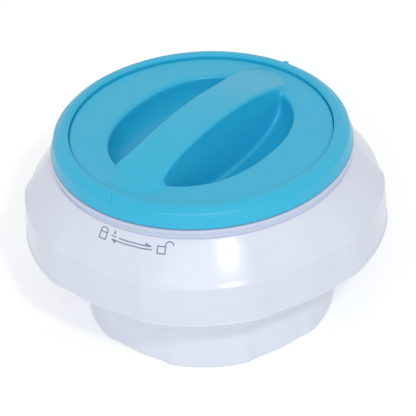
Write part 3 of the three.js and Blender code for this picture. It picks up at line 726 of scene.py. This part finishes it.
def build_lid_inside():
    """The gasket, the wave spring under the grip disc and the ring that holds the disc."""
    inner, outer = inner_radius("lid_gasket"), outer_radius("lid_gasket")
    gasket = turned_piece("lid_seal_ring", rounded([
        (inner, GASKET_LOW, 0.6), (outer, GASKET_LOW, 0.6), (outer, GASKET_TOP, 0.6),
        (inner, GASKET_TOP, 0.6),
    ]), SEAL_RUBBER, 200)
    finish_piece(gasket, "lid_seal", "seal", "lid_gasket")
    inner, outer = inner_radius("lid_return_spring"), outer_radius("lid_return_spring")
    thick, waves = 0.5, 5
    swing = (SPRING_TOP - SPRING_LOW - thick) / 2

    def wavy(angle, r, z):
        """Lifts the flat ring in waves."""
        return r, z + swing * (1 + math.cos(waves * angle))

    spring = turned_piece("wave_spring", rounded([
        (inner, SPRING_LOW, 0.1), (outer, SPRING_LOW, 0.1), (outer, SPRING_LOW + thick, 0.1),
        (inner, SPRING_LOW + thick, 0.1),
    ], steps=2), SPRING_STEEL, 240, wavy)
    finish_piece(spring, "grip_spring", "steel", "lid_return_spring")
    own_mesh(spring)
    low, high = (p[2] for p in span("grip_retainer_ring"))
    inner, outer = inner_radius("grip_retainer_ring"), outer_radius("grip_retainer_ring")
    retainer = turned_piece("grip_clip_ring", rounded([
        (inner, low, 0.2), (outer - 1.5, low, 0.2), (outer, high - 0.4, 0.2), (outer, high, 0.2),
        (inner, high, 0.2),
    ]), LID_PLASTIC, 200)
    finish_piece(retainer, "grip", "lid_plastic", "grip_retainer_ring")


# The grip disc is a signed field, negative inside, that is meshed on its zero surface.
BOWL_HALF_LENGTH = 50.0
BOWL_HALF_WIDTH = 40.8
BOWL_SQUARENESS = 2.25
BOWL_DEPTH = 23.0
BOWL_SECTION_POWER = 2.6
BOWL_WALL = 2.0
BAR_HALF_LENGTH = 60.0
BAR_HALF_WIDTH = 12.0
BAR_FLARE = 0.09
BAR_END_FLARE = 5.0
BAR_ARCH_HALF = 60.5
BAR_EDGE = 2.0
BAR_WALL = 3.0
BAR_HOLLOW_HALF = 35.6
BAR_BLEND = 2.6
PLATE_BLEND = 1.0
POCKET_LIP = 2.4
DISC_EDGE = 0.8


def smooth_max(a, b, k):
    """The larger of two fields, blended over k millimetres."""
    h = np.clip(0.5 + 0.5 * (a - b) / k, 0, 1)
    return b + (a - b) * h + k * h * (1 - h)


def smooth_min(a, b, k):
    """The smaller of two fields, blended over k millimetres."""
    return -smooth_max(-a, -b, k)


def bowl_field(x, y, z, grow):
    """Negative inside the bowl's space, grown by a wall."""
    a, b, depth = BOWL_HALF_LENGTH + grow, BOWL_HALF_WIDTH + grow, BOWL_DEPTH + grow
    n, p = BOWL_SQUARENESS, BOWL_SECTION_POWER
    plan = (np.abs(x / a) ** n + np.abs(y / b) ** n) ** (1 / n)
    drop = np.clip((DISC_TOP - z) / depth, 0, None)
    level = (plan ** p + drop ** p) ** (1 / p) - 1
    slope_plan = (plan ** (p - 1)) / np.maximum(level + 1, 1e-6) ** (p - 1)
    slope_drop = (drop ** (p - 1)) / np.maximum(level + 1, 1e-6) ** (p - 1)
    radius = np.hypot(x, y)
    plan_gradient = plan / np.maximum(radius, 1.0)
    gradient = np.hypot(slope_plan * np.maximum(plan_gradient, 1 / a), slope_drop / depth)
    return level / np.maximum(gradient, 0.4 / depth)


def bar_field(x, y, z, shrink=0.0):
    """Negative inside the arched grip bar."""
    rise = BAR_TOP - DISC_TOP
    along = np.clip(np.abs(x), 0, BOWL_HALF_LENGTH) / BAR_HALF_LENGTH
    flare = BAR_FLARE * np.clip(DISC_TOP - z, -4, 40) + BAR_END_FLARE * along ** 4
    half = BAR_HALF_WIDTH - shrink + flare
    straight = BAR_HALF_LENGTH - BAR_HALF_WIDTH
    side = np.hypot(np.clip(np.abs(x) - straight, 0, None), y) - half
    arch = DISC_TOP + rise * (1 - (x / BAR_ARCH_HALF) ** 2) - shrink
    slope = 2 * rise * x / BAR_ARCH_HALF ** 2
    top = (z - arch) / np.sqrt(1 + slope ** 2)
    return smooth_max(side, top, max(BAR_EDGE - shrink, 0.6))


def grip_field(points):
    """Negative inside the disc, its two pockets' walls and the bar."""
    x, y, z = points[..., 0], points[..., 1], points[..., 2]
    radius = np.hypot(x, y)
    disc_bottom = DISC_TOP - DISC_THICK
    plate = np.maximum(radius - RIM_INNER_R + RIM_CHAMFER + RIM_GAP, disc_bottom - z)
    cup = bowl_field(x, y, z, BOWL_WALL)
    solid = smooth_max(smooth_min(plate, cup, PLATE_BLEND), z - DISC_TOP, DISC_EDGE)
    dished = smooth_max(solid, -bowl_field(x, y, z, 0.0), POCKET_LIP)
    bar = np.maximum(bar_field(x, y, z), np.where(z < disc_bottom, cup, -99))
    whole = smooth_min(dished, bar, BAR_BLEND)
    floor = DISC_TOP - BOWL_DEPTH - BOWL_WALL
    hollow = np.maximum(bar_field(x, y, z, BAR_WALL), np.abs(x) - BAR_HOLLOW_HALF)
    whole = np.maximum(whole, -hollow)
    return np.maximum(whole, floor - z)


def surface_net(field, low, high, step):
    """Closed quad mesh of a field's zero surface: one vertex in each cell that the surface crosses."""
    axes = [np.arange(low[i], high[i] + step, step) for i in range(3)]
    grid = np.stack(np.meshgrid(*axes, indexing="ij"), -1)
    values = field(grid)
    inside = values < 0
    total = np.zeros([n - 1 for n in values.shape] + [3])
    hits = np.zeros(total.shape[:3])
    corners = [(i, j, k) for i in (0, 1) for j in (0, 1) for k in (0, 1)]
    cells = [n - 1 for n in values.shape]

    def corner(array, c):
        """The field at one corner of every cell."""
        return array[c[0]:c[0] + cells[0], c[1]:c[1] + cells[1], c[2]:c[2] + cells[2]]

    for a in corners:
        for axis in range(3):
            if a[axis]:
                continue
            b = tuple(v + (i == axis) for i, v in enumerate(a))
            va, vb = corner(values, a), corner(values, b)
            crossed = (va < 0) != (vb < 0)
            share = np.where(crossed, va / np.where(crossed, va - vb, 1), 0)
            place = np.zeros(total.shape)
            place[...] = np.array(a)
            place[..., axis] += share
            total += place * crossed[..., None]
            hits += crossed
    active = hits > 0
    number = np.full(active.shape, -1)
    number[active] = np.arange(active.sum())
    base = np.stack(np.meshgrid(*[ax[:-1] for ax in axes], indexing="ij"), -1)
    vertices = base[active] + total[active] / hits[active][:, None] * step
    faces = []
    for axis in range(3):
        u, v = (axis + 1) % 3, (axis + 2) % 3
        one = [slice(None)] * 3
        two = [slice(None)] * 3
        one[axis], two[axis] = slice(0, -1), slice(1, None)
        first, second = inside[tuple(one)], inside[tuple(two)]
        for flip, crossed in ((False, first & ~second), (True, ~first & second)):
            spots = np.argwhere(crossed)
            spots = spots[(spots[:, u] > 0) & (spots[:, v] > 0)]
            ring = []
            for du, dv in ((-1, -1), (0, -1), (0, 0), (-1, 0)):
                at = spots.copy()
                at[:, u] += du
                at[:, v] += dv
                ring.append(number[at[:, 0], at[:, 1], at[:, 2]])
            quads = np.stack(ring, 1)
            faces.append(quads[:, ::-1] if flip else quads)
    faces = np.concatenate(faces)
    for _ in range(3):
        gradient, value = slopes(field, vertices)
        move = value / np.maximum((gradient ** 2).sum(1), 0.05)
        vertices = vertices - gradient * np.clip(move, -step / 2, step / 2)[:, None]
    return vertices, faces


def slopes(field, vertices):
    """A field's gradient and value at each vertex."""
    reach = 0.05
    gradient = np.stack([
        (field(vertices + np.eye(3)[i] * reach) - field(vertices - np.eye(3)[i] * reach)) / (2 * reach)
        for i in range(3)
    ], 1)
    return gradient, field(vertices)


def build_grip():
    """The grip disc, and the hub below it with the clutch dogs."""
    step = 0.8
    margin = 1.0
    low = (-DISC_R - margin, -DISC_R - margin, GRIP_LOW - margin - 1)
    high = (DISC_R + margin, DISC_R + margin, BAR_TOP + margin)
    vertices, faces = surface_net(grip_field, low, high, step)
    mesh = bpy.data.meshes.new("grip_bar_and_disc")
    mesh.from_pydata(vertices * MM, [], faces.tolist())
    mesh.validate()
    mesh.shade_smooth()
    grip = bpy.data.objects.new("grip_bar_and_disc", mesh)
    bpy.context.scene.collection.objects.link(grip)
    mesh.materials.append(LID_PLASTIC)
    finish_piece(grip, "grip", "lid_plastic", "grip_disc")
    inner, groove_r = HUB_R - HUB_WALL, HUB_R - 1
    ring_low, ring_high = (p[2] for p in span("grip_retainer_ring"))
    bottom, groove_low, groove_high = ring_low - 1.5, ring_low - 0.3, ring_high + 0.3
    hub = rounded([
        (inner, bottom, 0.4), (HUB_R, bottom, 0.4), (HUB_R, groove_low, 0.1), (groove_r, groove_low, 0.1),
        (groove_r, groove_high, 0.1), (HUB_R, groove_high, 0.1), (HUB_R, DISC_TOP - 1, 0.1),
        (inner, DISC_TOP - 1, 0.1),
    ])
    tip, dog_r = LID_PLUG_Z + LEDGE_T + TOOTH_H + 0.6, PLUG_INNER_R - 0.6
    dogs = []
    for k in range(CLUTCH_TEETH):
        deg = 360 / CLUTCH_TEETH * (k + 0.5)
        dogs.append(arc_block(HUB_R - 0.5, dog_r, tip, tip + 4, deg, TOOTH_DEG, 0.2))
    finish_piece(turned_piece("grip_hub", hub, LID_PLASTIC, 200, extras=dogs), "grip", "lid_plastic")


# ---- Build --------------------------------------------------------------------------------------------
build_float_shell()
build_lock_marks()
build_collar()
build_float_inside()
for screw_index in range(1, LOBES + 1):
    build_screw(screw_index)
build_basket()
build_regulator()
build_lid_ring()
build_lid_inside()
build_grip()


# ---- Stage, light and camera --------------------------------------------------------------------------
CAMERA_AZIMUTH = -50.6
CAMERA_ELEVATION = 35.27
CAMERA_ROLL = -3.71
CAMERA_DISTANCE = 1.2664
CAMERA_LENS = 219.2
SENSOR_WIDTH = 36
AIM_RIGHT = 0.00351
AIM_UP = -0.0396
FLOOR_HALF = 3.0
FLOOR_LIFT = 0.28
WORLD_LIGHT = 0.68
KEY_WATTS = 3.4
FRONT_WATTS = 4.3


def build_camera():
    """The camera at the photo's angle, aimed past the middle of the rim."""
    a, e = math.radians(CAMERA_AZIMUTH), math.radians(CAMERA_ELEVATION)
    back = Vector((math.sin(a) * math.cos(e), -math.cos(a) * math.cos(e), math.sin(e)))
    right = Vector((math.cos(a), math.sin(a), 0))
    up = back.cross(right)
    roll = math.radians(CAMERA_ROLL)
    turned_right = right * math.cos(roll) + up * math.sin(roll)
    turned_up = up * math.cos(roll) - right * math.sin(roll)
    rim_centre = Vector((0, 0, (LID_STEP + 0.8) * MM))
    place = rim_centre + turned_right * AIM_RIGHT + turned_up * AIM_UP + back * CAMERA_DISTANCE
    camera = bpy.data.objects.new("camera", bpy.data.cameras.new("camera"))
    camera.data.lens = CAMERA_LENS
    camera.data.sensor_width = SENSOR_WIDTH
    camera.matrix_world = Matrix((turned_right, turned_up, back)).transposed().to_4x4()
    camera.location = place
    bpy.context.scene.collection.objects.link(camera)
    bpy.context.scene.camera = camera


def area_lamp(name, azimuth, elevation, distance, size, watts):
    """A round lamp that faces the middle of the object."""
    lamp = bpy.data.lights.new(name, "AREA")
    lamp.shape = "DISK"
    lamp.size = size
    lamp.energy = watts
    obj = bpy.data.objects.new(name, lamp)
    a, e = math.radians(azimuth), math.radians(elevation)
    back = Vector((math.sin(a) * math.cos(e), -math.cos(a) * math.cos(e), math.sin(e)))
    target = Vector((0, 0, 0.07))
    obj.location = target + back * distance
    obj.rotation_euler = back.to_track_quat("Z", "Y").to_euler()
    bpy.context.scene.collection.objects.link(obj)


def seen_directly(nodes, links):
    """1 where a camera, a mirror or a glass ray sees the surface, 0 where it lights something."""
    path = nodes.new("ShaderNodeLightPath")
    total = path.outputs["Is Camera Ray"]
    for name in ("Is Glossy Ray", "Is Transmission Ray"):
        add = nodes.new("ShaderNodeMath")
        add.operation = "ADD"
        add.use_clamp = True
        links.new(total, add.inputs[0])
        links.new(path.outputs[name], add.inputs[1])
        total = add.outputs["Value"]
    return total


def scaled(nodes, links, value, low, high):
    """A value from 0 to 1 as a number between low and high."""
    ranged = nodes.new("ShaderNodeMapRange")
    ranged.inputs["To Min"].default_value = low
    ranged.inputs["To Max"].default_value = high
    links.new(value, ranged.inputs["Value"])
    return ranged.outputs["Result"]


def build_stage():
    """A pale floor, a white world that lights softly, and two lamps."""
    corners = [(x * FLOOR_HALF, y * FLOOR_HALF, 0) for x, y in ((-1, -1), (1, -1), (1, 1), (-1, 1))]
    mesh = bpy.data.meshes.new("floor")
    mesh.from_pydata(corners, [], [(0, 1, 2, 3)])
    floor = bpy.data.objects.new("floor", mesh)
    bpy.context.scene.collection.objects.link(floor)
    material = bpy.data.materials.new("floor")
    material.use_nodes = True
    nodes, links = material.node_tree.nodes, material.node_tree.links
    shader = nodes["Principled BSDF"]
    shader.inputs["Base Color"].default_value = (0.9, 0.91, 0.92, 1)
    shader.inputs["Roughness"].default_value = 0.9
    shader.inputs["Specular IOR Level"].default_value = 0.1
    shader.inputs["Emission Color"].default_value = (1, 1, 1, 1)
    lift = scaled(nodes, links, seen_directly(nodes, links), 0, FLOOR_LIFT)
    links.new(lift, shader.inputs["Emission Strength"])
    mesh.materials.append(material)
    world = bpy.data.worlds.new("studio")
    world.use_nodes = True
    nodes, links = world.node_tree.nodes, world.node_tree.links
    sky = nodes["Background"]
    sky.inputs["Color"].default_value = (1, 1, 1, 1)
    links.new(scaled(nodes, links, seen_directly(nodes, links), WORLD_LIGHT, 1), sky.inputs["Strength"])
    bpy.context.scene.world = world
    area_lamp("key", CAMERA_AZIMUTH + 14, elevation=43, distance=1.4, size=0.1, watts=KEY_WATTS)
    area_lamp("front", CAMERA_AZIMUTH - 12, elevation=30, distance=1.6, size=1.0, watts=FRONT_WATTS)


build_camera()
build_stage()
bpy.context.scene.view_settings.view_transform = "Standard"
